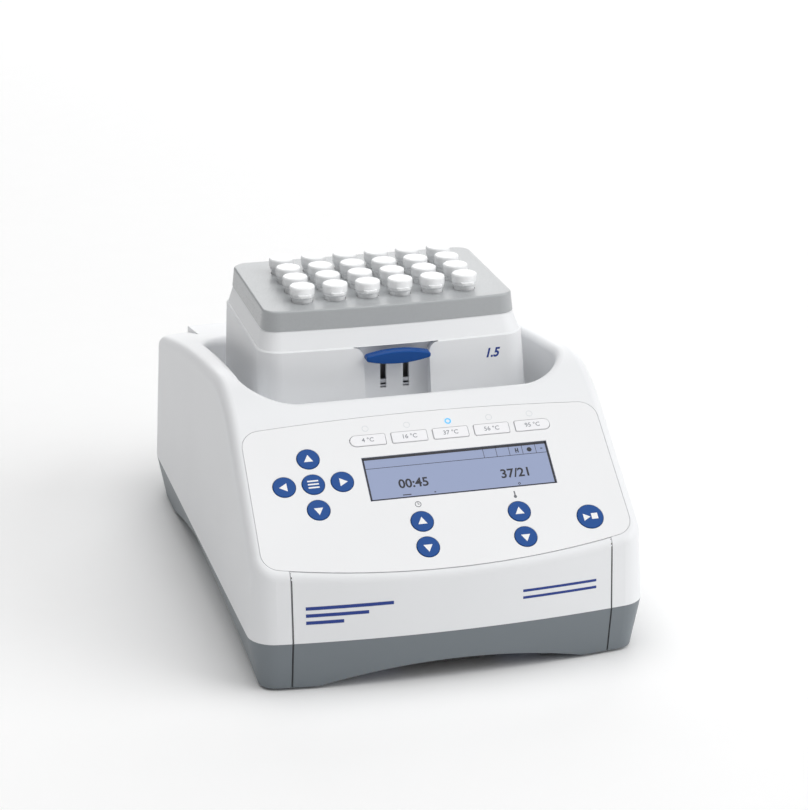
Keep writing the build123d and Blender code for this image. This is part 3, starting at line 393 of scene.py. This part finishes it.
def key_symbols(name):
    """Outlines of the white symbol on a round key, around the key's centre."""
    turn = ARROW_TURNS.get(name.split("_")[-1])
    if turn is not None:
        return [arrow(0, 0, ARROW_SIZE, turn)]
    if name == "menu":
        rows = (MENU_BAR_PITCH, 0, -MENU_BAR_PITCH)
        return [rectangle(0, y, MENU_BAR_WIDTH, MENU_BAR_HEIGHT) for y in rows]
    return [arrow(START_X, 0, START_SIZE, -90), rectangle(STOP_X, 0, STOP_SIDE, STOP_SIDE)]


def print_keys():
    """White symbols on the blue keys and grey temperatures on the preset keys."""
    for name, (x, v) in ROUND_KEYS.items():
        mesh = extruded(key_symbols(name), INK_THICKNESS, at_panel(x, v, KEY_TOP))
        piece(f"symbol_{name}", mesh, "white_ink", f"key_{name}")
    for index, degrees in enumerate(PRESETS):
        x = PRESET_FIRST_X + index * PRESET_PITCH
        place = at_panel(x, PRESET_V, KEY_TOP)
        mesh = number(f"{degrees} \u00b0C", PRESET_DIGIT_HEIGHT, place, PRESET_DIGIT_WEIGHT)
        piece(f"print_preset_{index + 1}", mesh, "pale_ink", f"key_preset_{index + 1}")


def print_lamps():
    """Small indicator rings over the preset keys: the middle one is lit."""
    for index in range(len(PRESETS)):
        x = PRESET_FIRST_X + index * PRESET_PITCH
        lit = index == len(PRESETS) // 2
        hole = LIT_LAMP_HOLE if lit else LAMP_HOLE
        place = at_panel(x, LAMP_V, OVERLAY_TOP)
        mesh = extruded(ring(0, 0, hole, LAMP_RADIUS), INK_THICKNESS, place)
        piece(f"lamp_{index + 1}", mesh, "lamp_on" if lit else "lamp_off", "casing")


def clock_icon():
    """A small clock: stands for the time keys."""
    return ring(0, 0, 1.25, 1.6) + [rectangle(0, 0.5, 0.3, 1.1), rectangle(0.4, 0, 0.9, 0.3)]


def thermometer_icon():
    """A small thermometer: stands for the temperature keys."""
    return [regular(0, -1.2, 0.8, 24), rectangle(0, 0.5, 0.7, 2.8)]


def print_icons():
    """Small grey icons over the time and temperature keys."""
    icons = (("clock", clock_icon(), TIME_X), ("thermometer", thermometer_icon(), TEMP_X))
    for name, outlines, x in icons:
        mesh = extruded(outlines, INK_THICKNESS, at_panel(x, ICON_V, OVERLAY_TOP))
        piece(f"icon_{name}", mesh, "grey_ink", "casing")


def screen_spot(across, down):
    """Panel point at a share of the screen's width and of its height from the top."""
    left, right, low, high = SCREEN
    return left + across * (right - left), high - down * (high - low)


def screen_frame():
    """Dark edges around the display picture."""
    left, right, low, high = SCREEN
    width, height = right - left, high - low
    middle_x, middle_v = (left + right) / 2, (low + high) / 2
    return [
        rectangle(middle_x, high - SCREEN_TOP_EDGE / 2, width, SCREEN_TOP_EDGE),
        rectangle(middle_x, low + SCREEN_LOW_EDGE / 2, width, SCREEN_LOW_EDGE),
        rectangle(left + SCREEN_LEFT_EDGE / 2, middle_v, SCREEN_LEFT_EDGE, height),
        rectangle(right - SCREEN_RIGHT_EDGE / 2, middle_v, SCREEN_RIGHT_EDGE, height),
    ]


def screen_header():
    """The line under the header, its dividers and three small signs."""
    left, right, _, high = SCREEN
    _, header_v = screen_spot(0, HEADER_SHARE)
    lines = [rectangle((left + right) / 2, header_v, right - left, HEADER_LINE)]
    for share in HEADER_DIVIDERS:
        x, _ = screen_spot(share, 0)
        lines.append(rectangle(x, (header_v + high) / 2, HEADER_DIVIDER, high - header_v))
    x, v = screen_spot(*BARS_SIGN)
    lines += [rectangle(x, v, 0.5, 2.6), rectangle(x + 1.1, v, 0.5, 2.6)]
    lines.append(rectangle(x + 0.5, v, 1.6, 0.4))
    x, v = screen_spot(*DOT_SIGN)
    lines.append(regular(x, v, 1.25, 20))
    x, v = screen_spot(*DASH_SIGN)
    lines.append(rectangle(x, v, 1.1, DASH_HEIGHT))
    return lines


def screen_captions():
    """Two dashes under the time and a small ring under the temperature."""
    lines = []
    for across, width in TIME_DASHES:
        x, v = screen_spot(across, CAPTION_SHARE)
        lines.append(rectangle(x, v, width, DASH_HEIGHT))
    x, v = screen_spot(DEGREE_RING_SHARE, CAPTION_SHARE)
    return lines + ring(x, v, 0.35, 0.65, 16)


def print_screen():
    """The display picture: frame, header, captions, time and temperatures."""
    lines = screen_frame() + screen_header() + screen_captions()
    mesh = extruded(lines, INK_THICKNESS, at_panel(0, 0, SCREEN_TOP))
    piece("screen_lines", mesh, "dark_ink", "casing")
    readings = (("time", "00:45", TIME_SHARE), ("temperature", "37/21", TEMPERATURE_SHARE))
    for name, text, across in readings:
        x, v = screen_spot(across, DIGITS_SHARE)
        place = at_panel(x, v, SCREEN_TOP)
        mesh = number(text, SCREEN_DIGIT_HEIGHT, place, SCREEN_DIGIT_WEIGHT)
        piece(f"screen_{name}", mesh, "dark_ink", "casing")


print_keys()
print_lamps()
print_icons()
print_screen()


# ---------------------------------------------------------------------------
# Front of the casing and of the block, in millimetres. Bars are (middle x, z, width).
# ---------------------------------------------------------------------------
UPRIGHT = Matrix.Rotation(math.radians(90), 4, "X")
LEFT_BARS = ((-52, 44, 42), (-58, 40.4, 30), (-64, 36.8, 18))
LEFT_BAR_HEIGHT = 1.7
RIGHT_BARS = ((52, 42.5, 38), (52, 39, 38))
RIGHT_BAR_HEIGHT = 1.3
BAR_STEP = 2
VOLUME_X, VOLUME_Z = 50.5, 124
VOLUME_HEIGHT, VOLUME_WEIGHT, VOLUME_SLANT = 4.6, 0.22, 0.3
# Place and size of the near-black strips that paint shade into the joint gaps on the front.
SEAM_X = 79.12
SEAM_WIDTH = 0.4
SEAM_STEPS = 20
SEAM_SPANS = {"front_panel": (26.7, 61.5), "front_skirt": (1.8, 26.4)}
SLOT_X = 6
HOOK_HALF_WIDTH = 1.5
HOOK_FRONT_Y, HOOK_REAR_Y = -31.0, -29.8
HOOK_SPANS = ((109.6, 110.6), (111.6, 113.6))
RAY_START_Y = -1000


def at_front(x, z):
    """Matrix of an upright spot that faces the front, in millimetres."""
    return Matrix.Translation(Vector((x, 0, z)) * MM) @ UPRIGHT


def wrapped(mesh, node):
    """Lays an upright flat mesh onto the front surface of a CAD node."""
    target = nodes[node]
    to_node = target.matrix_world.inverted()
    forward = (to_node.to_3x3() @ Vector((0, 1, 0))).normalized()
    for vertex in mesh.vertices:
        start = to_node @ Vector((vertex.co.x, RAY_START_Y * MM, vertex.co.z))
        hit, place, _, _ = target.ray_cast(start, forward)
        if not hit:
            raise RuntimeError(f"print misses {node} at x {vertex.co.x:.4f} z {vertex.co.z:.4f}")
        vertex.co.y += (target.matrix_world @ place).y - INK_THICKNESS / 2
    return mesh


def strip(x, z, width, height):
    """A long bar as a row of short rectangles, so that it can follow a bowed face."""
    count = max(1, round(width / BAR_STEP))
    step = width / count
    return [rectangle(x - width / 2 + (i + 0.5) * step, z, step, height) for i in range(count)]


def print_front():
    """Plain blue bars on the front, and the tube volume as a number on the block."""
    groups = (("left", LEFT_BARS, LEFT_BAR_HEIGHT), ("right", RIGHT_BARS, RIGHT_BAR_HEIGHT))
    for name, bars, height in groups:
        outlines = [outline for x, z, width in bars for outline in strip(x, z, width, height)]
        mesh = wrapped(extruded(outlines, INK_THICKNESS, UPRIGHT), "front_panel")
        piece(f"front_bars_{name}", mesh, "blue_ink", "casing")
    place = at_front(VOLUME_X, VOLUME_Z)
    mesh = wrapped(number("1.5", VOLUME_HEIGHT, place, VOLUME_WEIGHT, VOLUME_SLANT), "block_housing")
    piece("block_volume", mesh, "blue_ink", "thermo_block")


def paint_seam_shade():
    """Painted shade in the joints at both ends of the front piece and of the grey skirt under it:
    near-black strips that darken the shadow in the gaps.
    """
    for name, side in (("left", -1), ("right", 1)):
        for node, (low_z, high_z) in SEAM_SPANS.items():
            height = (high_z - low_z) / SEAM_STEPS
            middles = [low_z + (index + 0.5) * height for index in range(SEAM_STEPS)]
            line = [rectangle(side * SEAM_X, middle, SEAM_WIDTH, height) for middle in middles]
            mesh = wrapped(extruded(line, INK_THICKNESS, UPRIGHT), node)
            piece(f"seam_{name}_{node}", mesh, "seam_shadow", "casing")


def box_piece(name, low, high, material, body):
    """A plain box between two corners in millimetres."""
    mesh = bpy.data.meshes.new(name)
    work = bmesh.new()
    bmesh.ops.create_cube(work, size=1)
    low, high = Vector(low) * MM, Vector(high) * MM
    for vertex in work.verts:
        vertex.co = (low + high) / 2 + Vector(a * b for a, b in zip(vertex.co, high - low))
    work.to_mesh(mesh)
    work.free()
    return piece(name, mesh, material, body)


def slot_hooks():
    """Bright catches at the foot of the lever's two slots."""
    for name, x in (("left", -SLOT_X), ("right", SLOT_X)):
        for index, (low_z, high_z) in enumerate(HOOK_SPANS):
            low = (x - HOOK_HALF_WIDTH, HOOK_FRONT_Y, low_z)
            high = (x + HOOK_HALF_WIDTH, HOOK_REAR_Y, high_z)
            hook = f"hook_{name}_{index + 1}"
            box_piece(hook, low, high, "zinc_steel", "thermo_block")


print_front()
paint_seam_shade()
slot_hooks()


# ---------------------------------------------------------------------------
# Camera, lights and floor, in metres and watts
# ---------------------------------------------------------------------------
WORLD_STRENGTH = 0.23
SOFTBOXES = {
    "key_light": ((3.8, -2.0, 2.6), 4.4, 140),
    "top_light": ((-0.2, -0.4, 4.6), 5.0, 134),
    "back_light": ((0.9, 3.0, 1.25), 2.6, 34),
}
FLOOR_HALF = 14
FLOOR_COLOUR = (0.975, 0.975, 0.975)


def make_camera():
    """Camera in front, to the left and above, as a person stands at the bench."""
    data = bpy.data.cameras.new("camera")
    data.lens = CAMERA_LENS
    data.sensor_width = CAMERA_SENSOR
    camera = bpy.data.objects.new("camera", data)
    heading = Matrix.Rotation(math.radians(-CAMERA_HEADING), 4, "Z")
    pitch = Matrix.Rotation(math.radians(90 - CAMERA_PITCH), 4, "X")
    roll = Matrix.Rotation(math.radians(CAMERA_ROLL), 4, "Z")
    camera.matrix_world = Matrix.Translation(CAMERA_PLACE) @ heading @ pitch @ roll
    bpy.context.scene.collection.objects.link(camera)
    bpy.context.scene.camera = camera


def softbox(name, place, aim, size, power):
    """A square area light at a place, pointed at a spot."""
    data = bpy.data.lights.new(name, "AREA")
    data.size = size
    data.energy = power
    light = bpy.data.objects.new(name, data)
    light.location = place
    light.rotation_mode = "QUATERNION"
    light.rotation_quaternion = (aim - place).to_track_quat("-Z", "Y")
    bpy.context.scene.collection.objects.link(light)


def make_lights():
    """Pale surroundings, a large key light at the right, a soft light overhead and one behind."""
    world = bpy.data.worlds.new("surroundings")
    world.use_nodes = True
    background = world.node_tree.nodes["Background"]
    background.inputs["Color"].default_value = (1, 1, 1, 1)
    background.inputs["Strength"].default_value = WORLD_STRENGTH
    bpy.context.scene.world = world
    centre = (cad_low + cad_high) / 2
    for name, (place, size, power) in SOFTBOXES.items():
        softbox(name, Vector(place), centre, size, power)
    bpy.context.scene.view_settings.view_transform = "Standard"


def make_floor():
    """Large pale floor that the feet stand on."""
    mesh = bpy.data.meshes.new("floor")
    work = bmesh.new()
    side = 2 * FLOOR_HALF
    work.faces.new([work.verts.new((x, y, cad_low.z)) for x, y in rectangle(0, 0, side, side)])
    work.to_mesh(mesh)
    work.free()
    floor = bpy.data.objects.new("floor", mesh)
    material, tree, shader, place = new_material("floor_paper")
    paper = noise(tree, place, 40, 2.0)
    tree.links.new(ramp(tree, paper, *shades(FLOOR_COLOUR, 0.003)), shader.inputs["Base Color"])
    shader.inputs["Roughness"].default_value = 0.9
    mesh.materials.append(material)
    bpy.context.scene.collection.objects.link(floor)


make_camera()
make_lights()
make_floor()
